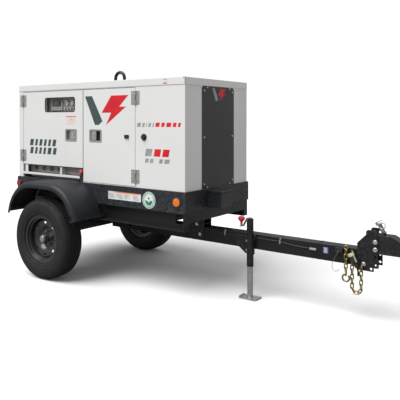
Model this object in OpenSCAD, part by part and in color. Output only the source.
/* [Enclosure] */
// Length of the sound enclosure
enc_l = 1990; // [1650:10:2400]
// Width of the sound enclosure
enc_w = 924; // [760:2:1120]
// Height of the walls, from the tank top to the roof
wall_h = 815; // [670:5:990]
// Height of the roof cap
roof_h = 58; // [38:1:60]
// Overhang of the roof cap past the walls
roof_over = 4; // [2:1:8]
// Thickness of the sheet steel
sheet = 2; // [1.5:0.5:3]
// Width of the rear corner posts
post_w = 64; // [52:1:78]
// Length of the opening for the control door
rear_bay = 823; // [680:1:990]
// Length of the opening for an engine door
front_bay = 606; // [500:1:730]
// Height of the cable outlet below the control door
outlet_h = 70; // [55:1:90]
// Height of the sill of the cable outlet above the tank
outlet_sill = 51; // [42:1:62]

/* [Doors] */
// Thickness of a door with its foam
door_t = 24; // [20:1:30]
// Gap on each side of a door
door_gap = 3.5; // [2.5:0.5:5]
// Width of one hinge leaf
leaf_w = 42; // [34:1:50]
// Height of a hinge
leaf_h = 110; // [90:1:130]
// Radius of a hinge knuckle
knuckle_r = 7; // [6:0.5:8]
// Radius of a hinge pin
pin_r = 3.45; // [2.5:0.05:4]
// Width of a latch plate
latch_w = 150; // [125:1:180]
// Height of a latch plate
latch_h = 112; // [94:1:134]
// Width of the control window
window_w = 405; // [340:1:480]
// Height of the control window
window_h = 133; // [110:1:160]

/* [Skid tank] */
// Height of the skid tank
tank_h = 160; // [130:2:200]
// Overhang of the skid tank past the enclosure
tank_over = 12; // [8:1:16]

/* [Trailer] */
// Height of the rails
rail_h = 140; // [116:2:168]
// Width of a rail flange
rail_flange = 60; // [50:1:72]
// Thickness of a rail web
rail_web = 6; // [5:0.5:8]
// Distance from the enclosure front back to the wheel axis
axle_back = 1333; // [1250:1:1450]
// Width of the drawbar tube
bar_w = 100; // [84:1:120]
// Height of the drawbar tube
bar_h = 114; // [96:1:136]
// Wall of the drawbar tube
bar_t = 6; // [4:0.5:8]
// Reach of the drawbar ahead of the enclosure
bar_reach = 1240; // [1100:5:1480]
// Side of the square axle tube
axle_tube = 76; // [64:1:90]
// Length of a torsion arm, from its pivot to the spindle
arm_l = 152; // [140:1:165]
// Angle of a torsion arm below level
arm_drop = 34.5; // [30:0.5:38]

/* [Wheels] */
// Outer radius of a tyre
tyre_r = 344.5; // [320:0.5:360]
// Width of a tyre
tyre_w = 205; // [175:1:225]
// Radius of the rim flange
rim_r = 208; // [195:0.5:220]
// Distance between the tyre centre planes
track = 1310; // [1270:2:1400]
// Circle of the wheel studs, across
stud_pcd = 114.3; // [98:0.1:120]
// Radius of the spindle
spindle_r = 17.45; // [15:0.05:20]

/* [Fenders] */
// Height of the fender top above the ground
fender_top = 835; // [815:1:900]
// Radius of the fender corners
fender_r = 330; // [290:1:340]
// Width of a fender
fender_w = 302; // [285:1:340]
// Thickness of the fender sheet
fender_t = 3; // [2:0.5:5]

/* [Jack and coupler] */
// Radius of the jack's outer tube
jack_r = 26; // [23:0.5:30]
// Wall of the jack's outer tube
jack_wall = 4; // [3:0.5:5]
// Distance of the jack ahead of the enclosure
jack_fwd = 345; // [300:1:420]
// Pitch of the holes in the coupler channel
hole_pitch = 51; // [42:1:60]
// Radius of the holes in the coupler channel
hole_r = 8.5; // [7:0.1:10]
// Length of the coupler ahead of its channel
coupler_l = 255; // [220:1:300]
// Radius of the towing ball
ball_r = 29.4; // [25:0.1:32]

/* [Hidden] */
$fn = 48;

// Heights, from the ground up
bar_z1 = 487;
bar_z0 = bar_z1 - bar_h;
bar_mid = (bar_z0 + bar_z1) / 2;
rail_z0 = 524;
tank_z0 = rail_z0 + rail_h;
deck_z = tank_z0 + tank_h;
wall_top = deck_z + wall_h;
roof_top = wall_top + roof_h;

// Lengths: the frame's origin is under the middle of the whole outline
coupler_fwd = bar_reach + 60;
nose_reach = coupler_fwd + coupler_l;
lamp_stand = 25;
rear_reach = enc_l + lamp_stand;
front_x = (rear_reach - nose_reach) / 2;
rear_x = front_x - enc_l;
axle_x = front_x - axle_back;
jack_x = front_x + jack_fwd;
channel_x = front_x + bar_reach - 78;
coupler_x = front_x + coupler_fwd;

// Enclosure places, for the right side (-Y)
side_y = enc_w / 2;
bay_x0 = rear_x + post_w;
bay_x1 = bay_x0 + rear_bay;
bay_x2 = bay_x1 + front_bay;
header_h = 6;
bay_top = wall_top - header_h;
bay_low = deck_z + 4;
outlet_z0 = deck_z + outlet_sill;
control_low = outlet_z0 + outlet_h;
door_in = side_y - door_t;
stop_lap = 20;
jamb_d = door_t + 2;
hinge_y = side_y + knuckle_r + 1;
hinge_inset = 85;
latch_z = deck_z + 408;
control_latch_x = bay_x1 - 154;
engine_latch_x = bay_x1 + 153;
window_x = bay_x0 + 518;
window_z = bay_top - 128;
tank_y = side_y + tank_over;
catch_z = latch_z;
catch_off = 123;

// Chassis places
web_y = tank_y - rail_flange;
filler_x = front_x - 700;
filler_y = side_y - 110;
pivot_x = axle_x + arm_l * cos(arm_drop);
pivot_z = tyre_r + arm_l * sin(arm_drop);
arm_t = 28;
beam_half = tank_y + 12;
arm_y = beam_half + 2;
run_gap = 0.05;
fender_x = axle_x + 18;
fender_y = tank_y + 4;
fender_flat = 115;
fender_turn = 75;
fender_leg = 44;
shoulder_r = 40;
skirt = 12;
jack_y = bar_w / 2 + 8 + jack_r + 2;
foot_z = 6;
stud_r = 6.3;
rim_half = 82;
seat_r = 190.5;

// Cable routes, in millimetres ahead of the enclosure front, from the drawbar's side, and from the ground
harness_path = [[20, -4, 470], [60, -4.5, 466], [110, -4.5, 464], [170, -4.5, 463], [240, -4.5, 462],
    [300, -4.5, 462], [366, -4.5, 461], [430, -4.5, 461], [500, -4.5, 460], [582, -4.5, 459],
    [640, -4.5, 452], [700, -4.5, 446], [760, -4.5, 443], [810, -4.5, 442]];
plug_path = [[1150, 50, 378], [1150, 50, 362], [1151, 46, 346], [1154, 36, 330], [1159, 20, 318],
    [1165, 2, 311], [1172, -16, 309], [1179, -32, 313], [1185, -45, 323], [1187, -53, 336],
    [1186, -58, 350], [1182, -58, 362], [1177, -58, 373]];
breakaway_path = [[1038, -22, 462], [1038, -28, 460], [1035, -32, 452], [1030, -34, 440], [1022, -34, 425],
    [1013, -34, 408], [1004, -34, 390], [998, -34, 372], [995, -34, 354], [997, -34, 338], [1004, -34, 326],
    [1014, -34, 319], [1026, -34, 319], [1037, -34, 325], [1045, -34, 335]];
route_from = [front_x, -bar_w / 2, 0];

// Shared shapes
module right_to_left() { mirror([0, 1, 0]) children(); }

module both_sides() {
    children();
    mirror([0, 1, 0]) children();
}

// A box given by its two corners
module span(a, b) { translate(a) cube(b - a); }

// A bar with rounded ends and edges, standing on its base
module round_bar(size, r) {
    linear_extrude(size[2]) round_rect(size[0], size[1], r);
}

module round_rect(w, d, r) {
    square([w - 2 * r, d], center = true);
    square([w, d - 2 * r], center = true);
    for (x = [-1, 1], y = [-1, 1]) translate([x * (w / 2 - r), y * (d / 2 - r)]) circle(r);
}

// Places a shape drawn flat so that it faces out of the right side
module face_right(x, y, z) { translate([x, -y, z]) rotate([90, 0, 0]) children(); }

// A hexagon bolt head with its washer, standing along +Z
module bolt_head(r, h = 8) {
    cylinder(r = r * 1.25, h = 2);
    translate([0, 0, 1]) cylinder(r = r, h = h, $fn = 6);
}

// A tube swept along a list of points, with closed ends
function unit(v) = v / norm(v);
function tangent(p, i) = unit(p[min(i + 1, len(p) - 1)] - p[max(i - 1, 0)]);
function side_of(t, last) = unit(last - (last * t) * t);
function ring_sides(p, start) = [for (i = 0, s = side_of(tangent(p, 0), start); i < len(p);
    i = i + 1, s = i < len(p) ? side_of(tangent(p, i), s) : s) s];
function midpoint(p, i) = let (a = p[max(i - 1, 0)], b = p[i], c = p[i + 1], d = p[min(i + 2, len(p) - 1)])
    (b + c) * 9 / 16 - (a + d) / 16;
function finer(p) = [for (i = [0 : len(p) - 2]) each [p[i], midpoint(p, i)], p[len(p) - 1]];

module swept_tube(path, r, sides, start) {
    normals = ring_sides(path, start);
    rings = [for (i = [0 : len(path) - 1]) let (t = tangent(path, i), n = normals[i], b = cross(t, n))
        [for (k = [0 : sides - 1]) path[i] + r * (cos(360 * k / sides) * n + sin(360 * k / sides) * b)]];
    points = [for (ring = rings) each ring];
    last = (len(path) - 1) * sides;
    walls = [for (i = [0 : len(path) - 2], k = [0 : sides - 1]) let (k2 = (k + 1) % sides)
        [i * sides + k, (i + 1) * sides + k, (i + 1) * sides + k2, i * sides + k2]];
    caps = [[for (k = [0 : sides - 1]) k], [for (k = [sides - 1 : -1 : 0]) last + k]];
    polyhedron(points, concat(walls, caps));
}

// Skid tank: a closed steel box that carries the set
module fuel_tank_base() {
    color("#2c2f35") difference() {
        span([rear_x - tank_over, -tank_y, tank_z0], [front_x + tank_over, tank_y, deck_z]);
        span([rear_x - tank_over + 5, -tank_y + 5, tank_z0 + 5], [front_x + tank_over - 5, tank_y - 5, deck_z - 5]);
        for (s = [-1, 1]) translate([front_x - 872, s * tank_y, deck_z - 20]) rotate([90, 0, 0])
            cylinder(r = 9, h = 30, center = true);
        translate([filler_x, filler_y, deck_z - 10]) cylinder(r = 30, h = 20);
    }
}

// Rail: a channel with its open side outwards and a tie-down hole near the front
module rail() {
    difference() {
        span([rear_x, -tank_y, rail_z0], [front_x, -web_y, tank_z0]);
        span([rear_x - 1, -tank_y - 1, rail_z0 + 8], [front_x - 6, -web_y - rail_web, tank_z0 - 8]);
        translate([front_x - 86, -web_y, rail_z0 + rail_h / 2 + 8]) rotate([90, 0, 0])
            linear_extrude(40, center = true) round_rect(70, rail_h - 66, 20);
    }
}

module right_rail() { color("#25272b") rail(); }
module left_rail() { color("#25272b") right_to_left() rail(); }

// Crossmembers: tubes between the rails at the front, over the saddle and at the rear,
// and two lower ones over the drawbar
cross_z0 = rail_z0 + 54;
cross_h = tank_z0 - cross_z0;
saddle_x0 = front_x - 260;
module cross_tube(x, z, w, h) {
    difference() {
        span([x, -web_y, z], [x + w, web_y, z + h]);
        span([x + 4, -web_y - 1, z + 4], [x + w - 4, web_y + 1, z + h - 4]);
    }
}

module crossmembers() {
    color("#25272b") {
        cross_tube(front_x - 50, cross_z0, 50, cross_h);
        cross_tube(saddle_x0 + 50, cross_z0, 50, cross_h);
        cross_tube(rear_x, cross_z0, 50, cross_h);
        cross_tube(front_x - 1090, bar_z1, 50, 60);
        cross_tube(front_x - 620, bar_z1, 50, 60);
    }
}

// Drawbar: one box tube, with a weld ring near its tip
bar_rear = front_x - 1145;
module drawbar() {
    color("#222326") difference() {
        union() {
            span([bar_rear, -bar_w / 2, bar_z0], [front_x + bar_reach, bar_w / 2, bar_z1]);
            span([front_x + 878, -bar_w / 2 - 1.5, bar_z0 - 1.5], [front_x + 884, bar_w / 2 + 1.5, bar_z1 + 1.5]);
        }
        span([bar_rear - 1, -bar_w / 2 + bar_t, bar_z0 + bar_t],
            [front_x + bar_reach + 1, bar_w / 2 - bar_t, bar_z1 - bar_t]);
        translate([front_x + 1150, route_from[1] + plug_path[0][1], bar_z0 - 1]) cylinder(r = 7, h = bar_t + 2);
    }
}

// Saddle: two side plates and two caps that hang the drawbar from the crossmember over it
saddle_t = 6;
saddle_x1 = front_x - 105;
saddle_bolts = [[front_x - 174, cross_z0 - 73], [front_x - 144, bar_mid - 5]];
module drawbar_saddle() {
    color("#25272b") {
        both_sides() span([saddle_x0, -bar_w / 2 - saddle_t, bar_z0 + 27], [saddle_x1, -bar_w / 2, cross_z0]);
        span([saddle_x0, -bar_w / 2, bar_z1 + 20], [saddle_x1, bar_w / 2, bar_z1 + 26]);
        span([saddle_x0, -bar_w / 2, cross_z0 - 6], [saddle_x1, bar_w / 2, cross_z0]);
    }
}

// Coupler channel: two drilled side plates on the drawbar's tip
plate_t = 8;
channel_l = coupler_x - channel_x;
channel_top = bar_z1 + 140;
hole_x = coupler_x - 16;
hole_top = bar_z1 + 113;
hole_rows = 5;
chain_bolt_x = channel_x + 44;
chain_bolt_z = bar_z0 + 18;
module channel_plate() {
    difference() {
        rotate([90, 0, 0]) linear_extrude(plate_t) polygon([[channel_x, bar_z0 - 26],
            [channel_x, bar_z1 + 44], [coupler_x - 78, bar_z1 + 106], [coupler_x - 78, channel_top - 12],
            [coupler_x - 66, channel_top], [coupler_x - 12, channel_top], [coupler_x, channel_top - 12],
            [coupler_x, bar_z0], [coupler_x - 26, bar_z0], [coupler_x - 26, bar_z0 - 26]]);
        for (k = [0 : hole_rows - 1]) translate([hole_x, 1, hole_top - k * hole_pitch])
            rotate([90, 0, 0]) cylinder(r = hole_r, h = plate_t + 2);
        translate([chain_bolt_x, 1, chain_bolt_z]) rotate([90, 0, 0]) cylinder(r = hole_r, h = plate_t + 2);
        translate([coupler_x - 44, 1, bar_z0 - 8]) rotate([90, 0, 0]) cylinder(r = hole_r, h = plate_t + 2);
    }
}

module coupler_channel() {
    color("#232428") {
        both_sides() translate([0, -bar_w / 2, 0]) channel_plate();
    }
}

// Axle beam: the torsion tube with its hangers
hanger_y = web_y + rail_flange / 2;
module axle_beam() {
    h = axle_tube / 2;
    color("#1f2023") {
        difference() {
            span([pivot_x - h, -beam_half, pivot_z - h], [pivot_x + h, beam_half, pivot_z + h]);
            span([pivot_x - h + 6, -beam_half - 1, pivot_z - h + 6], [pivot_x + h - 6, beam_half + 1, pivot_z + h - 6]);
        }
        both_sides() span([pivot_x - h - 22, -hanger_y - 26, pivot_z + h], [pivot_x + h + 22, -hanger_y + 26, rail_z0]);
    }
}

// Torsion arm with its spindle, for the right side
spindle_out = 62;
module torsion_arm() {
    shaft_r = axle_tube / 2 - 13;
    spindle_l = track / 2 + spindle_out - arm_y - arm_t;
    color("#2a2b2e") {
        face_right(pivot_x, arm_y, pivot_z) cylinder(r = 34, h = arm_t);
        face_right(pivot_x, arm_y - 90, pivot_z) cylinder(r = shaft_r, h = 95);
        translate([pivot_x, -arm_y, pivot_z]) rotate([0, -arm_drop, 0])
            translate([-arm_l, 3 - arm_t, -24]) cube([arm_l, arm_t - 6, 48]);
        face_right(axle_x, arm_y, tyre_r) cylinder(r = 30, h = arm_t);
        face_right(axle_x, arm_y + arm_t, tyre_r) cylinder(r = spindle_r, h = spindle_l);
    }
}

module right_torsion_arm() { torsion_arm(); }
module left_torsion_arm() { right_to_left() torsion_arm(); }

// Hub with its flange, studs, nuts and dust cap. Z runs outwards from the wheel's centre plane.
disc_t = 5;
hub_r = 34;
module hub() {
    color("#9a9a96") {
        difference() {
            union() {
                translate([0, 0, -70]) cylinder(r = hub_r, h = 122);
                translate([0, 0, -12]) cylinder(r = stud_pcd / 2 + 15, h = 12);
                translate([0, 0, 52]) cylinder(r = hub_r - 1, h = 14);
                translate([0, 0, 66]) cylinder(r = hub_r - 8, h = 4);
            }
            translate([0, 0, -71]) cylinder(r = spindle_r + run_gap, h = 71 + spindle_out + 2);
        }
        for (k = [0 : 4]) rotate([0, 0, 90 + 72 * k]) translate([stud_pcd / 2, 0, 0]) {
            cylinder(r = stud_r, h = 30);
            translate([0, 0, disc_t + 0.3]) cylinder(r = 11, h = 18, $fn = 6);
        }
    }
}

module at_wheel() { translate([axle_x, -track / 2, tyre_r]) rotate([90, 0, 0]) children(); }
module right_hub() { at_wheel() hub(); }
module left_hub() { right_to_left() at_wheel() hub(); }

// Pressed steel rim with a ring of small windows
module rim() {
    color("#1c1d20") difference() {
        union() {
            rotate_extrude($fn = 96) polygon([[seat_r - 22, -48], [seat_r - 18, -48], [seat_r - 18, 48],
                [seat_r - 14, 56], [seat_r - 0.3, 58], [seat_r - 0.3, rim_half - 8], [rim_r - 4, rim_half - 6],
                [rim_r, rim_half - 3], [rim_r, rim_half], [rim_r - 8, rim_half], [seat_r - 5, rim_half - 4],
                [seat_r - 5, 62], [seat_r - 18, 60], [seat_r - 22, 50]]);
            rotate_extrude($fn = 96) polygon([[seat_r - 22, 50], [seat_r - 18, 48], [seat_r - 18, -48],
                [seat_r - 14, -56], [seat_r - 0.3, -58], [seat_r - 0.3, 8 - rim_half], [rim_r - 4, 6 - rim_half],
                [rim_r, 3 - rim_half], [rim_r, -rim_half], [rim_r - 8, -rim_half], [seat_r - 5, 4 - rim_half],
                [seat_r - 5, -62], [seat_r - 18, -60], [seat_r - 22, -50]]);
            rotate_extrude($fn = 96) polygon([[hub_r + 1, 0], [84, 0], [96, 12], [112, 24], [128, 29], [150, 26],
                [seat_r - 21, 10], [seat_r - 21, 18], [152, 33], [128, 35], [110, 30], [92, 18], [80, disc_t],
                [hub_r + 1, disc_t]]);
        }
        for (k = [0 : 7]) rotate([0, 0, 45 * k]) translate([138, 0, 0]) linear_extrude(50)
            round_rect(17, 30, 7);
        for (k = [0 : 4]) rotate([0, 0, 90 + 72 * k]) translate([stud_pcd / 2, 0, -1])
            cylinder(r = stud_r + 0.5, h = disc_t + 2);
    }
}

module right_rim() { at_wheel() rim(); }
module left_rim() { right_to_left() at_wheel() rim(); }

// Tyre: sidewalls, shoulders and four grooves in the tread
module tyre() {
    w = tyre_w / 2;
    wall = 12;
    color("#2b2b2b") difference() {
        rotate_extrude($fn = 128) polygon([[seat_r, -rim_half + 9], [rim_r, -rim_half + 8.5],
            [rim_r + 2, -rim_half - 8], [rim_r + 34, -w + 2], [rim_r + 62, -w], [tyre_r - 42, -w + 3],
            [tyre_r - 20, -w + 12], [tyre_r - 6, -w + 24], [tyre_r, -w + 38], [tyre_r, w - 38],
            [tyre_r - 6, w - 24], [tyre_r - 20, w - 12], [tyre_r - 42, w - 3], [rim_r + 62, w],
            [rim_r + 34, w - 2], [rim_r + 2, rim_half + 8], [rim_r, rim_half - 8.5], [seat_r, rim_half - 9],
            [seat_r, rim_half - 22], [rim_r + 4, rim_half - 12], [rim_r + 60, w - wall],
            [tyre_r - 30, w - wall - 10], [tyre_r - wall - 4, w - 44], [tyre_r - wall - 4, 44 - w],
            [tyre_r - 30, wall + 10 - w], [rim_r + 60, wall - w], [rim_r + 4, 12 - rim_half],
            [seat_r, 22 - rim_half]]);
        for (z = [-36, -12, 12, 36]) rotate_extrude($fn = 128) translate([tyre_r - 8, z - 3]) square([10, 6]);
    }
}

module right_tyre() { at_wheel() tyre(); }
module left_tyre() { right_to_left() at_wheel() tyre(); }

// Fender section: X is the distance from the corner's centre and Y runs outwards
module fender_section() {
    translate([fender_r - fender_t, 0]) square([fender_t, fender_w - shoulder_r]);
    translate([fender_r - shoulder_r, fender_w - shoulder_r]) intersection() {
        difference() {
            circle(shoulder_r);
            circle(shoulder_r - fender_t);
        }
        square(shoulder_r);
    }
    translate([fender_r - shoulder_r - skirt, fender_w - fender_t]) square([skirt, fender_t]);
}

module fender_half() {
    rotate([90, 0, 90]) linear_extrude(fender_flat) fender_section();
    translate([fender_flat, 0, 0]) {
        rotate_extrude(angle = fender_turn, start = 90 - fender_turn, $fn = 96) fender_section();
        rotate([0, 0, 90 - fender_turn]) {
            rotate([90, 0, 0]) linear_extrude(fender_leg) fender_section();
            translate([fender_r - fender_t - 6, -fender_leg, web_y + rail_web - fender_y])
                cube([6, fender_leg - 6, fender_w + fender_y - web_y - rail_web - 20]);
        }
    }
}

module fender() {
    color("#2e3036") translate([fender_x, -fender_y, fender_top - fender_r]) rotate([90, 0, 0]) {
        fender_half();
        mirror([1, 0, 0]) fender_half();
    }
}

module right_fender() { fender(); }
module left_fender() { right_to_left() fender(); }

// Jack body: the outer tube, its cap and the bracket on the drawbar
jack_z0 = 245;
jack_z1 = 610;
gusset_z0 = bar_z0 - 42;
gusset_bolts = [[jack_x - 42, bar_z0 + 56], [jack_x - 42, bar_z0 - 16]];
module jack_body() {
    color("#1d1e20") {
        difference() {
            union() {
                translate([jack_x, -jack_y, jack_z0]) cylinder(r = jack_r, h = jack_z1 - jack_z0);
                rotate([90, 0, 0]) translate([0, 0, bar_w / 2]) linear_extrude(8) polygon([[jack_x - 140, bar_z0 + 4],
                    [jack_x - 140, bar_z0 + 80], [jack_x + 20, bar_z0 + 80], [jack_x + 20, gusset_z0],
                    [jack_x - 58, gusset_z0], [jack_x - 118, bar_z0 + 4]]);
                span([jack_x - 14, -jack_y, gusset_z0 + 4], [jack_x + 14, -bar_w / 2 - 6, bar_z0 + 76]);
            }
            translate([jack_x, -jack_y, jack_z0 - 1]) cylinder(r = jack_r - jack_wall, h = jack_z1 - jack_z0 - 5);
            translate([jack_x, -jack_y, jack_z1 - 10]) cylinder(r = 8 + run_gap, h = 20);
        }
    }
}

// Jack leg: the drop tube and its foot plate
leg_gap = 0.5;
module jack_leg() {
    leg_r = jack_r - jack_wall - leg_gap;
    color("#a3a49e") {
        difference() {
            translate([jack_x, -jack_y, foot_z]) cylinder(r = leg_r, h = jack_z0 + 60);
            translate([jack_x, -jack_y, foot_z + 20]) cylinder(r = leg_r - 3, h = jack_z0 + 60);
        }
        translate([jack_x, -jack_y, 0]) round_bar([150, 110, foot_z], 14);
        for (s = [-1, 1]) span([jack_x + s * 73 - 3, -jack_y - 40, 0], [jack_x + s * 73 + 3, -jack_y + 40, 16]);
    }
}

// Crank: the screw's shaft, the bent arm and the pin for the knob
crank_drop = 52;
crank_l = 76;
crank_dir = -120;
module crank_frame() { translate([jack_x, -jack_y, jack_z1]) rotate([0, 0, crank_dir]) children(); }
module jack_crank() {
    color("#b9bab6") crank_frame() {
        translate([0, 0, -60]) cylinder(r = 8, h = 70);
        rotate([90, 0, 0]) linear_extrude(22, center = true) polygon([[-12, 4], [24, 4],
            [crank_l - 18, -crank_drop], [crank_l + 14, -crank_drop], [crank_l + 14, 4 - crank_drop],
            [crank_l - 16, 4 - crank_drop], [26, 8], [-12, 8]]);
        translate([crank_l, 0, 2 - crank_drop]) cylinder(r = 5, h = 68);
    }
}

module jack_knob() {
    color("#b3343c") crank_frame() translate([crank_l, 0, -crank_drop + 8]) difference() {
        rotate_extrude() polygon([[0, 0], [8, 0], [9, 24], [20, 36], [26, 46], [27, 56], [22, 66], [0, 70]]);
        translate([0, 0, -1]) cylinder(r = 5 + run_gap, h = 64);
    }
}

// Coupler head: a formed channel with a ball socket in its nose
coupler_w = bar_w - 2;
socket_x = coupler_x + coupler_l - 62;
socket_z = bar_z1 - 2;
coupler_t = 6;
coupler_low = socket_z - 16;
module coupler_outline(inset, low) {
    polygon([[coupler_x - 58, socket_z + 110 - inset], [coupler_x + 90, socket_z + 110 - inset],
        [socket_x + 8, socket_z + 46 - inset], [socket_x + 62 - inset, socket_z + 10],
        [socket_x + 62 - inset, low], [coupler_x - 58, low]]);
}

module coupler_head() {
    color("#232428") both_sides() difference() {
        span([lever_x - 10, lever_y, socket_z + 109], [lever_x + 10, lever_y + 6, lever_z + 9]);
        translate([lever_x, 0, lever_z]) rotate([90, 0, 0]) cylinder(r = lever_pin + run_gap, h = bar_w, center = true);
    }
    color("#232428") difference() {
        rotate([90, 0, 0]) linear_extrude(coupler_w, center = true) coupler_outline(0, coupler_low);
        rotate([90, 0, 0]) linear_extrude(coupler_w - 2 * coupler_t, center = true)
            coupler_outline(coupler_t, coupler_low - 30);
        for (k = [1, 2]) translate([hole_x, 0, hole_top - k * hole_pitch]) rotate([90, 0, 0])
            cylinder(r = hole_r, h = bar_w, center = true);
        for (s = [-1, 1]) translate([socket_x, s * coupler_w / 2, 0]) rotate([0, 0, s * 22])
            translate([0, s * 30 - 30, socket_z - 100]) cube([160, 60, 300]);
    }
    color("#232428") difference() {
        translate([socket_x, 0, socket_z - 14]) cylinder(r = 42, h = 44);
        translate([socket_x, 0, socket_z - 4]) sphere(ball_r + 0.6);
        translate([socket_x, 0, socket_z - 15]) cylinder(r = ball_r + 0.6, h = 12);
    }
}

// Latch lever, standing open on the coupler's top
lever_x = coupler_x + 25;
lever_z = socket_z + 122;
lever_y = 19;
lever_pin = 4;
lever_tilt = -28;
pull_pin = 3.5;
pull_z = 38;
module lever_frame() { translate([lever_x, 0, lever_z]) rotate([0, lever_tilt, 0]) children(); }
module coupler_latch() {
    color("#9fa09b") lever_frame() {
        rotate([90, 0, 0]) cylinder(r = 7, h = 2 * lever_y - 8, center = true);
        rotate([90, 0, 0]) cylinder(r = lever_pin, h = 2 * lever_y + 10, center = true);
        difference() {
            for (s = [-1, 1]) span([-9, s * 15 - 2, -6], [9, s * 15 + 2, 62]);
            translate([0, 0, pull_z]) rotate([90, 0, 0]) cylinder(r = pull_pin + run_gap, h = 60, center = true);
        }
        span([-9, -14, 6], [-5, 14, 60]);
        difference() {
            span([-18, -20, 60], [24, 20, 84]);
            span([-12, -21, 65], [25, 21, 79]);
        }
    }
}

// Safety pin through the lever, with its pull ring
module latch_pin() {
    color("#c9cac6") lever_frame() {
        translate([0, 0, pull_z]) rotate([90, 0, 0]) cylinder(r = pull_pin, h = 62, center = true);
        translate([20, -29, pull_z + 12]) rotate([90, 0, 0]) rotate_extrude() translate([22, 0]) circle(3, $fn = 24);
    }
}

// Bolts of the chassis: saddle, coupler channel and jack bracket
module chassis_bolts() {
    color("#b4b5b1") {
        for (p = saddle_bolts) face_right(p[0], bar_w / 2 + saddle_t, p[1]) bolt_head(11);
        for (k = [1, 2]) {
            face_right(hole_x, bar_w / 2 + plate_t, hole_top - k * hole_pitch) bolt_head(13, 11);
            face_right(hole_x, -bar_w / 2 - plate_t - 4, hole_top - k * hole_pitch)
                cylinder(r = hole_r - 0.5, h = bar_w + 2 * plate_t + 5);
            mirror([0, 1, 0]) face_right(hole_x, bar_w / 2 + plate_t, hole_top - k * hole_pitch) bolt_head(13, 11);
        }
        face_right(chain_bolt_x, bar_w / 2 + plate_t, chain_bolt_z) bolt_head(12, 10);
        for (p = gusset_bolts) face_right(p[0], bar_w / 2 + 8, p[1]) bolt_head(9);
    }
}

// One chain link, long way along X and lying in XZ
link_in = 32;
link_pitch = 31.2;
wire_r = 4;
link_c = 10.5;
module chain_link() {
    for (s = [-1, 1]) {
        translate([s * (link_in / 2 - link_c + wire_r), 0, 0]) rotate([90, 0, 0])
            rotate_extrude(angle = 180, start = s > 0 ? -90 : 90, $fn = 32) translate([link_c, 0]) circle(wire_r, $fn = 16);
        translate([0, 0, s * link_c]) rotate([0, 90, 0])
            cylinder(r = wire_r, h = link_in - 2 * link_c + 2 * wire_r, center = true, $fn = 16);
    }
}

// Chain links hung along a curve: each joins two points and is turned a quarter from the last
module chain_along(points) {
    for (i = [0 : len(points) - 2]) {
        d = points[i + 1] - points[i];
        translate((points[i] + points[i + 1]) / 2) rotate([0, -atan2(d[2], norm([d[0], d[1]])), 0])
            rotate([90 * (i % 2) + 45, 0, 0]) chain_link();
    }
}

chain_y = -bar_w / 2 - 24;
chain_top = bar_z1 - 14;
hook_chain = [for (k = [0 : 5]) [channel_x - 72, chain_y, chain_top - k * link_pitch]];
module safety_chains() {
    color("#b48a3c") {
        chain_along(hook_chain);
        chain_along(hanging_loop(channel_x - 30, channel_x + 34, chain_top, chain_bolt_z - 4, 188));
        translate([channel_x - 72, chain_y, chain_top + 18]) rotate([90, 0, 0]) rotate_extrude($fn = 32)
            translate([13, 0]) circle(5, $fn = 16);
        grab_hook([channel_x - 72, chain_y, chain_top - 5 * link_pitch - 36]);
    }
}

// Points of a hanging loop, one link apart: down one side, round the bottom and up the other
function hanging_loop(x0, x1, z0, z1, low) = let (r = (x1 - x0) / 2, down = floor((z0 - low - r) / link_pitch),
    turn = max(3, floor(PI * r / link_pitch)), up = floor((z1 - low - r) / link_pitch),
    bend = link_pitch / (2 * sin(90 / turn))) concat(
    [for (k = [0 : down - 1]) [x0 + r - bend, chain_y, low + r + (down - k) * link_pitch]],
    [for (k = [0 : turn]) let (a = 180 * k / turn) [x0 + r - bend * cos(a), chain_y, low + r - bend * sin(a)]],
    [for (k = [1 : up]) [x0 + r + bend, chain_y, low + r + k * link_pitch]]);

// Hook at a chain's end, open at its side
module grab_hook(at) {
    translate(at) {
        rotate([90, 0, 0]) rotate_extrude(angle = 300, start = 110, $fn = 40) translate([24, 0]) circle(6, $fn = 16);
        translate([0, 0, 26]) rotate([0, 90, 0]) rotate_extrude($fn = 32) translate([10, 0]) circle(4.5, $fn = 16);
    }
}

// Trailer plug with its boot, held on the channel's side
plug_at = route_from + [1177, -58, 373];
plug_tilt = 25.35;
module trailer_plug() {
    color("#c8c7b4") translate(plug_at) rotate([0, -plug_tilt, 0]) {
        cylinder(r = 11, h = 34);
        translate([0, 0, 34]) cylinder(r = 19, h = 46);
        translate([0, 0, 80]) difference() {
            cylinder(r = 22, h = 20);
            translate([0, 0, 4]) cylinder(r = 18, h = 20);
        }
    }
}

module plug_cable() {
    color("#1b1b1b") swept_tube([for (p = finer(plug_path)) p + route_from], 5, 10, [0, 1, 0]);
}

module breakaway_cable() {
    color("#9c9d9a") swept_tube([for (p = finer(breakaway_path)) p + route_from], 1.6, 8, [0, 0, 1]);
}

// Brake harness on the drawbar's side, and the breakaway switch that it serves
module brake_harness() {
    color("#151515") {
        swept_tube([for (p = finer(harness_path)) p + route_from], 4, 8, [0, 0, 1]);
        span([front_x + 1012, -bar_w / 2 - 22, bar_mid + 18], [front_x + 1064, -bar_w / 2, bar_z1 - 6]);
    }
}

module amber_lamps() {
    color("#f08a24") both_sides() face_right(front_x - 76, tank_y, deck_z - 82) side_lamp();
}

module side_lamp() {
    cylinder(r = 36, h = 4);
    translate([0, 0, 4]) cylinder(r = 30, h = 6);
    translate([0, 0, 10]) cylinder(r = 24, h = 3);
}

module red_lamps() {
    color("#b03a3a") {
        both_sides() face_right(rear_x + 20, tank_y, deck_z - 63) cylinder(r = 28, h = 12);
        for (s = [-1, 1]) translate([rear_x, s * (web_y - 110), cross_z0 + cross_h / 2]) rotate([90, 0, -90])
            linear_extrude(lamp_stand) round_rect(150, 54, 24);
    }
}

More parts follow.
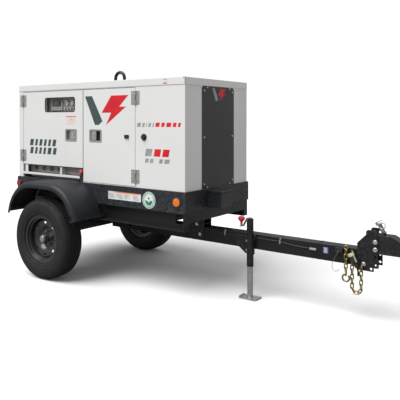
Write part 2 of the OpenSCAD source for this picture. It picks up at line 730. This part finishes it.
// Black box on the tank's front, with a hinged lid
box_d = 140;
box_w = 160;
box_h = 132;
box_y0 = -195;
box_z0 = deck_z - 144;
box_x0 = front_x + tank_over;
module front_box() {
    color("#1b1c1f") difference() {
        span([box_x0, box_y0, box_z0], [box_x0 + box_d, box_y0 + box_w, box_z0 + box_h]);
        span([box_x0 + 3, box_y0 + 3, box_z0 + 3], [box_x0 + box_d - 3, box_y0 + box_w - 3, box_z0 + box_h + 1]);
    }
}

module front_box_lid() {
    color("#202226") difference() {
        span([box_x0 + 0.5, box_y0 - 4, box_z0 + box_h - 14], [box_x0 + box_d + 4, box_y0 + box_w + 4, box_z0 + box_h + 4]);
        span([box_x0 - 1, box_y0 - 1, box_z0 + box_h - 15], [box_x0 + box_d + 1, box_y0 + box_w + 1, box_z0 + box_h + 0.3]);
    }
}

// Frame leaf of a hinge at a joint line: dir is +1 when the fixed leaf is ahead of the line
module fixed_leaf(x, z, dir) {
    third = leaf_h / 3;
    translate([x, -hinge_y, z - leaf_h / 2]) {
        for (k = [0, 2]) translate([0, 0, k * third]) {
            cylinder(r = knuckle_r, h = third - 0.4);
            span([min(0, dir * 12), -2, 0], [max(0, dir * 12), hinge_y - side_y, third - 0.4]);
        }
        cylinder(r = pin_r, h = leaf_h);
        span([min(dir * 7.5, dir * (leaf_w + 2)), hinge_y - side_y - 3, 0],
            [max(dir * 7.5, dir * (leaf_w + 2)), hinge_y - side_y, leaf_h]);
        for (k = [0.22, 0.78]) translate([dir * 28, hinge_y - side_y - 3, k * leaf_h]) rotate([90, 0, 0])
            cylinder(r = 5.5, h = 3, $fn = 6);
    }
}

// Door leaf of the same hinge, with the middle knuckle
module door_leaf(x, z, dir) {
    third = leaf_h / 3;
    translate([x, -hinge_y, z - leaf_h / 2]) {
        difference() {
            union() {
                translate([0, 0, third]) cylinder(r = knuckle_r, h = third - 0.4);
                translate([0, 0, third]) span([min(0, -dir * 12), -2, 0], [max(0, -dir * 12), hinge_y - side_y, third - 0.4]);
            }
            translate([0, 0, -1]) cylinder(r = pin_r + run_gap, h = leaf_h + 2);
        }
        span([min(-dir * 7.5, -dir * (leaf_w + 2)), hinge_y - side_y - 3, 0],
            [max(-dir * 7.5, -dir * (leaf_w + 2)), hinge_y - side_y, leaf_h]);
        for (k = [0.22, 0.78]) translate([-dir * 28, hinge_y - side_y - 3, k * leaf_h]) rotate([90, 0, 0])
            cylinder(r = 5.5, h = 3, $fn = 6);
    }
}

hinge_top = bay_top - hinge_inset;
control_hinge_low = control_low + hinge_inset;
engine_hinge_low = bay_low + hinge_inset;

// One flat strip of the folded frame: a hairline parts it from the strips it is welded to
seam = 0.05;
module strip(a, b) { span(a + [seam, seam, seam], b - [seam, seam, seam]); }

// Side of the frame: posts, header, sills and door stops, for the right side
stop_y = -side_y + jamb_d;
edge_y = stop_y + sheet;
mid_half = 22;
module frame_side() {
    // rear corner post with its return and the jamb beside the rear bay
    strip([rear_x + sheet, -side_y, deck_z], [bay_x0 - sheet, -side_y + sheet, bay_top]);
    strip([rear_x, -side_y, deck_z], [rear_x + sheet, -side_y + post_w, bay_top]);
    strip([bay_x0 - sheet, -side_y, deck_z], [bay_x0, edge_y, bay_top]);
    // post between the two bays
    strip([bay_x1 - mid_half, stop_y, deck_z], [bay_x1 + mid_half, stop_y + 30, bay_top]);
    // front post behind the fixed panel, and the stop beside it
    strip([bay_x2, -side_y + sheet, deck_z], [bay_x2 + sheet, edge_y, wall_top - 2]);
    strip([bay_x2 - stop_lap, stop_y, deck_z], [bay_x2, edge_y, bay_top]);
    // header, and the edge that goes on above the fixed panel
    strip([rear_x, -side_y, bay_top], [bay_x2, edge_y, wall_top]);
    strip([bay_x2, -side_y, wall_top - 2], [front_x - sheet, edge_y, wall_top]);
    // stops under the header, on each side of the post
    strip([bay_x0, stop_y, bay_top - stop_lap], [bay_x1 - mid_half, edge_y, bay_top]);
    strip([bay_x1 + mid_half, stop_y, bay_top - stop_lap], [bay_x2 - stop_lap, edge_y, bay_top]);
    // sill of the front bay, and its stop
    strip([bay_x1, -side_y, deck_z], [bay_x2, stop_y, bay_low]);
    strip([bay_x1 + mid_half, stop_y, deck_z], [bay_x2 - stop_lap, edge_y, bay_low + stop_lap]);
    // front corner post
    strip([front_x - 40, -side_y + sheet, deck_z], [front_x - 2 * sheet, -side_y + 2 * sheet, wall_top - 4]);
    strip([front_x - 2 * sheet, -side_y + sheet, deck_z], [front_x - sheet, -side_y + 42, wall_top - 4]);
}

module control_bay() {
    // stops of the control door
    strip([bay_x0, stop_y, control_low + stop_lap], [bay_x0 + stop_lap, edge_y, bay_top - stop_lap]);
    strip([bay_x0, stop_y, control_low - 6], [bay_x1 - mid_half, edge_y, control_low + stop_lap]);
    // cable outlet: sill, end post and divider
    strip([bay_x0, -side_y, outlet_z0 - 22], [stop_x - 26, stop_y + 30, outlet_z0]);
    strip([bay_x0 + 26, -side_y + 4, outlet_z0], [bay_x0 + 66, -side_y + 8, control_low - 4]);
    strip([bay_x0 + 512, -side_y + 10, outlet_z0], [bay_x0 + 538, -side_y + 34, control_low - 6]);
}

module enclosure_frame() {
    color("#e9e7e3") {
        frame_side();
        control_bay();
        right_to_left() frame_side();
        // ties across the top
        for (x = [rear_x, bay_x1 - 20, front_x - 42])
            strip([x + sheet, edge_y, wall_top - 4], [x + 40, -edge_y, wall_top]);
        for (z = [hinge_top, control_hinge_low]) fixed_leaf(bay_x0, z, -1);
        both_sides() for (z = [hinge_top, engine_hinge_low]) fixed_leaf(bay_x2, z, 1);
    }
}

// Roof cap with its air outlet and the holes for the lifting eye and the exhaust
grille_x0 = front_x - 430;
grille_l = 330;
grille_w = 560;
exhaust_x = front_x - 520;
exhaust_y = 120;
eye_x = bay_x1 + 9;
eye_half = 56;
eye_rod = 15;
module roof_panel() {
    l0 = rear_x - roof_over;
    l1 = front_x + roof_over;
    w = side_y + roof_over;
    color("#eceae6") difference() {
        translate([(l0 + l1) / 2, 0, wall_top]) round_bar([l1 - l0, 2 * w, roof_h], 10);
        span([l0 + sheet, -w + sheet, wall_top + sheet], [l1 - sheet, w - sheet, roof_top - sheet]);
        span([l0 + 30, -w + 30, wall_top - 1], [l1 - 30, w - 30, wall_top + sheet + 1]);
        for (k = [0 : 10]) span([grille_x0 + k * grille_l / 11, -grille_w / 2, roof_top - sheet - 1],
            [grille_x0 + (k + 0.6) * grille_l / 11, grille_w / 2, roof_top + 1]);
        for (s = [-1, 1]) translate([eye_x + s * eye_half, 0, roof_top - 10]) cylinder(r = eye_rod + 1, h = 20);
        translate([exhaust_x, exhaust_y, roof_top - 10]) cylinder(r = 31, h = 20);
    }
}

// Lifting eye: a bent rod on a beam under the roof
eye_top = roof_top + 130;
module lifting_eye() {
    z_arc = eye_top - eye_rod - eye_half;
    foot = wall_top + 3;
    color("#1e1f21") {
        for (s = [-1, 1]) translate([eye_x + s * eye_half, 0, foot]) cylinder(r = eye_rod, h = z_arc - foot);
        translate([eye_x, 0, z_arc]) rotate([90, 0, 0]) rotate_extrude(angle = 180)
            translate([eye_half, 0]) circle(eye_rod);
        span([eye_x - 110, -40, wall_top], [eye_x + 110, 40, foot + 9]);
    }
}

// Front wall with the opening behind the bolted cover
cover_half = 240;
module front_panel() {
    color("#c9c7c2") difference() {
        span([front_x - sheet, -side_y, deck_z], [front_x, side_y, wall_top]);
        span([front_x - sheet - 1, -cover_half + 30, deck_z + 30], [front_x + 1, cover_half - 30, wall_top - 30]);
    }
}

cover_bolts = concat([for (y = [-1, 1], z = [0.045, 0.5, 0.955]) [y * (cover_half - 28), z]],
    [for (y = [-1, 1], z = [0.012, 0.988]) [y * (cover_half - 72), z]]);
module front_cover() {
    color("#303030") {
        difference() {
            span([front_x, -cover_half, deck_z + 1], [front_x + 3, cover_half, wall_top - 1]);
            span([front_x - 1, -cover_half - 1, wall_top - 12], [front_x + 4, -cover_half + 12, wall_top]);
            span([front_x - 1, cover_half - 12, wall_top - 12], [front_x + 4, cover_half + 1, wall_top]);
        }
        for (b = cover_bolts) translate([front_x + 3, b[0], deck_z + 1 + b[1] * (wall_h - 2)]) rotate([0, 90, 0])
            cylinder(r = 8, h = 5, $fn = 6);
    }
}

// Fixed side panels: the front ones on both sides and the rear one on the left
module side_panels() {
    color("#e9e7e3") {
        both_sides() {
            span([bay_x2, -side_y, deck_z], [front_x - sheet, -side_y + sheet, wall_top - sheet]);
            face_right(bay_x2 + 92, side_y, catch_z) {
                cylinder(r = 27, h = 6);
                cylinder(r = 18, h = 19);
            }
        }
        span([bay_x0, side_y - sheet, deck_z], [bay_x1 - 1, side_y, bay_top]);
        span([bay_x0, side_y - jamb_d, deck_z], [bay_x0 + 20, side_y - sheet, bay_top]);
        span([bay_x1 - 19, side_y - jamb_d, deck_z], [bay_x1 - 1, side_y - sheet, bay_top]);
    }
}

// Rear wall with two stacks of louvres
louvre_n = 11;
module rear_panel() {
    y1 = side_y - post_w;
    pitch = (wall_h - 200) / louvre_n;
    color("#e9e7e3") {
        difference() {
            span([rear_x, -y1, deck_z], [rear_x + sheet, y1, wall_top - sheet]);
            for (s = [-1, 1], k = [0 : louvre_n - 1]) span([rear_x - 1, s * y1 / 2 - 150, deck_z + 100 + k * pitch],
                [rear_x + sheet + 1, s * y1 / 2 + 150, deck_z + 100 + k * pitch + 22]);
        }
        for (s = [-1, 1], k = [0 : louvre_n - 1]) translate([rear_x + sheet, s * y1 / 2, deck_z + 124 + k * pitch])
            rotate([0, 40, 0]) translate([0, -152, -34]) cube([1.6, 304, 34]);
    }
}

// Latch: a plate with a pocket, and half of the pocket is left open for the fingers
latch_in = 18;
pocket_w = latch_w - 34;
pocket_h = latch_h - 28;
paddle_pin = 4;
paddle_depth = 6;
paddle_w = pocket_w / 2 + 2;
pivot_off = pocket_w / 2 - 6;
module latch_pocket(x, dir) {
    face_right(x, side_y - latch_in, latch_z) linear_extrude(latch_in + 2) round_rect(pocket_w, pocket_h, 8);
    face_right(x - dir * pivot_off, side_y - paddle_depth, latch_z) rotate([90, 0, 0])
        cylinder(r = paddle_pin + run_gap, h = pocket_h + 12, center = true);
}

module latch_rim(x) {
    face_right(x, side_y, latch_z) linear_extrude(2) difference() {
        round_rect(latch_w, latch_h, 12);
        round_rect(pocket_w, pocket_h, 8);
    }
}

// Door: two sheets with a space between them, drained at its foot. Its children stay solid.
module door_skin(x0, x1, z0, z1) {
    difference() {
        span([x0 + door_gap, -side_y, z0 + door_gap], [x1 - door_gap, -door_in, z1 - door_gap]);
        difference() {
            span([x0 + door_gap + sheet, -side_y + sheet, z0 + door_gap + sheet],
                [x1 - door_gap - sheet, -door_in - sheet, z1 - door_gap - sheet]);
            children();
        }
        for (x = [x0 + 120, x1 - 120]) translate([x, -side_y + door_t / 2, z0]) cylinder(r = 4, h = 12);
    }
}

// Block left solid round a door's latch pocket
module latch_block(x) {
    span([x - latch_w / 2, -side_y, latch_z - latch_h / 2], [x + latch_w / 2, -door_in, latch_z + latch_h / 2]);
}

module control_door() {
    color("#efedea") {
        difference() {
            door_skin(bay_x0, bay_x1, control_low - 0.5, bay_top) {
                latch_block(control_latch_x);
                span([window_x - window_w / 2 - 12, -side_y, window_z - window_h / 2 - 12],
                    [window_x + window_w / 2 + 12, -door_in, window_z + window_h / 2 + 12]);
            }
            latch_pocket(control_latch_x, -1);
            face_right(window_x, side_y + 1, window_z) translate([0, 0, -door_t - 1]) linear_extrude(door_t + 4)
                round_rect(window_w, window_h, 22);
        }
        latch_rim(control_latch_x);
        for (z = [hinge_top, control_hinge_low]) door_leaf(bay_x0, z, -1);
    }
}

module engine_door() {
    color("#efedea") {
        difference() {
            door_skin(bay_x1, bay_x2, bay_low, bay_top) latch_block(engine_latch_x);
            latch_pocket(engine_latch_x, 1);
        }
        latch_rim(engine_latch_x);
        for (z = [hinge_top, engine_hinge_low]) door_leaf(bay_x2, z, 1);
        face_right(bay_x2 - 92, side_y, catch_z) linear_extrude(10) round_rect(44, 30, 6);
    }
}

module right_engine_door() { engine_door(); }
module left_engine_door() { right_to_left() engine_door(); }

// Window pane with its raised seal
module control_window() {
    color("#4a4f55") face_right(window_x, side_y - 6, window_z) {
        linear_extrude(4) round_rect(window_w - 0.6, window_h - 0.6, 21.7);
        linear_extrude(8) difference() {
            round_rect(window_w - 0.6, window_h - 0.6, 21.7);
            round_rect(window_w - 18, window_h - 18, 13);
        }
    }
}

// Paddle of a door latch, turning on upright pins at its edge; dir is +1 when it reaches forward
module paddle(x, dir) {
    face_right(x - dir * pivot_off, side_y - paddle_depth, latch_z) {
        rotate([90, 0, 0]) cylinder(r = paddle_pin, h = pocket_h + 10, center = true);
        translate([min(0, dir * paddle_w), 1.5 - pocket_h / 2, 0]) cube([paddle_w, pocket_h - 3, 5]);
    }
}

module control_door_latch() { color("#8e9091") paddle(control_latch_x, -1); }
module right_engine_latch() { color("#8e9091") paddle(engine_latch_x, 1); }
module left_engine_latch() { color("#8e9091") right_to_left() paddle(engine_latch_x, 1); }

// Control panel behind the window: a cabinet with a screen, gauges and switches
panel_y = door_in - 34;
module control_panel() {
    x0 = window_x - window_w / 2 - 70;
    x1 = bay_x1 - 40;
    color("#5a5d61") {
        difference() {
            span([x0, -panel_y, board_top], [x1, -panel_y + 130, window_z + 90]);
            span([x0 + sheet, -panel_y + sheet, board_top + sheet], [x1 - sheet, -panel_y + 131, window_z + 90 - sheet]);
        }
        face_right(window_x - 90, panel_y, window_z) linear_extrude(14) round_rect(150, 100, 8);
        face_right(window_x + 40, panel_y, window_z + 18) cylinder(r = 26, h = 10);
        face_right(window_x + 110, panel_y, window_z + 18) cylinder(r = 26, h = 10);
        for (k = [0 : 3]) face_right(window_x + 20 + 38 * k, panel_y, window_z - 34) cylinder(r = 10, h = 16);
    }
}

// Output panel behind the cable outlet: a board with sockets and lugs
board_top = outlet_z0 + 190;
module output_panel() {
    x0 = bay_x0 + 30;
    x1 = bay_x1 - 40;
    y = door_in - 44;
    color("#3d4043") {
        difference() {
            span([x0, -y, deck_z], [x1, -y + 60, board_top]);
            span([x0 + sheet, -y + sheet, deck_z + sheet], [x1 - sheet, -y + 61, board_top - sheet]);
        }
        difference() {
            span([stop_x - 20, -side_y + 4, deck_z], [stop_x + 17, -side_y + 7, stop_z + 20]);
            face_right(stop_x, side_y - 10, stop_z) cylinder(r = 8 + run_gap, h = 20);
        }
        span([stop_x - 20, -side_y + 4, deck_z], [stop_x + 17, -side_y + jamb_d, deck_z + 3]);
        for (k = [0 : 3]) face_right(x0 + 90 + 110 * k, y, outlet_z0 + 140) cylinder(r = 24, h = 14);
        for (k = [0 : 4]) face_right(x0 + 540 + 32 * k, y, outlet_z0 + 140) cylinder(r = 9, h = 26);
        for (k = [0 : 3]) face_right(x0 + 90 + 110 * k, y, outlet_z0 + 35) cylinder(r = 19, h = 12);
    }
}

// Emergency stop: a mushroom button on a bracket
stop_x = bay_x1 - 18;
stop_z = outlet_z0 + 42;
stop_travel = 6;
module stop_button() {
    color("#c33b33") face_right(stop_x, side_y - 4, stop_z) {
        translate([0, 0, -12]) cylinder(r = 8, h = 12 + stop_travel + 8);
        translate([0, 0, stop_travel + 4]) cylinder(r = 18, h = 6);
        translate([0, 0, stop_travel + 10]) cylinder(r = 16, h = 3);
    }
}

// Engine: block, sump, head and rocker cover
engine_x0 = front_x - 880;
engine_x1 = front_x - 330;
crank_z = deck_z + 235;
fan_shaft = 18;
module engine() {
    color("#7b7d7a") {
        difference() {
            union() {
                span([engine_x0 + 30, -150, deck_z + 40], [engine_x1 - 20, 150, deck_z + 120]);
                span([engine_x0, -170, deck_z + 120], [engine_x1, 170, crank_z + 150]);
            }
            span([engine_x0 + 50, -130, deck_z + 39], [engine_x1 - 40, 130, crank_z + 110]);
        }
        span([engine_x0 + 20, -120, crank_z + 150], [engine_x1 - 20, 120, crank_z + 260]);
        span([engine_x0 + 40, -90, crank_z + 260], [engine_x1 - 40, 90, crank_z + 320]);
        translate([engine_x1, 0, crank_z]) rotate([0, 90, 0]) cylinder(r = 70, h = 24);
        translate([engine_x1, 0, crank_z + 150]) rotate([0, 90, 0]) cylinder(r = fan_shaft, h = 74);
        for (x = [engine_x0 + 90, engine_x1 - 90], s = [-1, 1]) span([x - 40, s * 195 - 45, deck_z], [x + 40, s * 195 + 45, deck_z + 160]);
    }
}

module alternator() {
    x0 = engine_x0 - 430;
    color("#3c5a78") {
        translate([x0, 0, crank_z]) rotate([0, 90, 0]) difference() {
            cylinder(r = 190, h = 380);
            translate([0, 0, -1]) difference() {
                cylinder(r = 172, h = 350);
                cylinder(r = 95, h = 400);
            }
        }
        translate([x0 + 380, 0, crank_z]) rotate([0, 90, 0]) cylinder(r = 215, h = 50);
        span([x0 + 60, -110, crank_z + 170], [x0 + 320, 110, crank_z + 270]);
        for (s = [-1, 1]) span([x0 + 60, s * 170 - 40, deck_z], [x0 + 320, s * 170 + 40, crank_z - 60]);
    }
}

// Radiator with its side tanks, and the ring round the fan
rad_x = front_x - 190;
module radiator() {
    color("#2f3133") {
        span([rad_x, -290, deck_z + 60], [rad_x + 70, 290, deck_z + 640]);
        for (s = [-1, 1]) span([rad_x - 6, s * 320 - 30, deck_z], [rad_x + 76, s * 320 + 30, deck_z + 680]);
        difference() {
            span([rad_x - 60, -260, crank_z + 150 - 260], [rad_x, 260, crank_z + 150 + 260]);
            translate([rad_x - 61, 0, crank_z + 150]) rotate([0, 90, 0]) cylinder(r = 240, h = 55);
        }
    }
}

// Fan: a hub and six pitched blades
module fan() {
    color("#d8d6cf") translate([rad_x - 94, 0, crank_z + 150]) rotate([0, 90, 0]) {
        difference() {
            cylinder(r = 52, h = 40);
            translate([0, 0, -1]) cylinder(r = fan_shaft + run_gap, h = 32);
        }
        for (k = [0 : 5]) rotate([0, 0, 60 * k]) translate([44, 0, 20]) rotate([32, 0, 0])
            translate([0, -34, -2]) cube([180, 68, 4]);
    }
}

// Muffler over the engine, with the tail pipe through the roof
module muffler() {
    z = crank_z + 420;
    color("#6f6a64") {
        difference() {
            union() {
                translate([front_x - 900, exhaust_y, z]) rotate([0, 90, 0]) cylinder(r = 75, h = 450);
                translate([exhaust_x, exhaust_y, z + 60]) cylinder(r = 27, h = roof_top + 34 - z - 60);
                translate([exhaust_x, exhaust_y, roof_top + 34]) cylinder(r = 30, h = 6);
            }
            translate([front_x - 896, exhaust_y, z]) rotate([0, 90, 0]) cylinder(r = 71, h = 442);
            translate([exhaust_x, exhaust_y, z]) cylinder(r = 24, h = roof_top);
        }
        translate([front_x - 800, exhaust_y, crank_z + 260]) cylinder(r = 22, h = 100);
    }
}

module air_filter() {
    color("#26282b") {
        translate([front_x - 840, -150, crank_z + 400]) rotate([0, 90, 0]) cylinder(r = 85, h = 300);
        translate([front_x - 540, -150, crank_z + 400]) rotate([0, 90, 0]) cylinder(r = 35, h = 90);
        span([front_x - 710, -119, crank_z + 260], [front_x - 670, -101, crank_z + 335]);
    }
}

module battery() {
    x0 = front_x - 600;
    y0 = 240;
    color("#1e1f22") {
        span([x0, y0, deck_z], [x0 + 260, y0 + 173, deck_z + 190]);
        for (x = [50, 210]) translate([x0 + x, y0 + 86, deck_z + 190]) cylinder(r = 9, h = 18);
    }
}

// Fuel cap on the tank's filler neck, inside the left door
module fuel_cap() {
    color("#202124") translate([filler_x, filler_y, deck_z]) {
        translate([0, 0, -9]) cylinder(r = 29.5, h = 9);
        cylinder(r = 38, h = 26, $fn = 64);
        translate([-34, -7, 26]) cube([68, 14, 10]);
    }
}

fuel_tank_base();
right_rail();
left_rail();
crossmembers();
drawbar();
drawbar_saddle();
coupler_channel();
axle_beam();
right_torsion_arm();
left_torsion_arm();
right_hub();
left_hub();
right_rim();
left_rim();
right_tyre();
left_tyre();
right_fender();
left_fender();
jack_body();
jack_leg();
jack_crank();
jack_knob();
coupler_head();
coupler_latch();
latch_pin();
chassis_bolts();
safety_chains();
trailer_plug();
plug_cable();
breakaway_cable();
brake_harness();
amber_lamps();
red_lamps();
front_box();
front_box_lid();
enclosure_frame();
roof_panel();
lifting_eye();
front_panel();
front_cover();
side_panels();
rear_panel();
control_door();
right_engine_door();
left_engine_door();
control_window();
control_door_latch();
right_engine_latch();
left_engine_latch();
control_panel();
output_panel();
stop_button();
engine();
alternator();
radiator();
fan();
muffler();
air_filter();
battery();
fuel_cap();
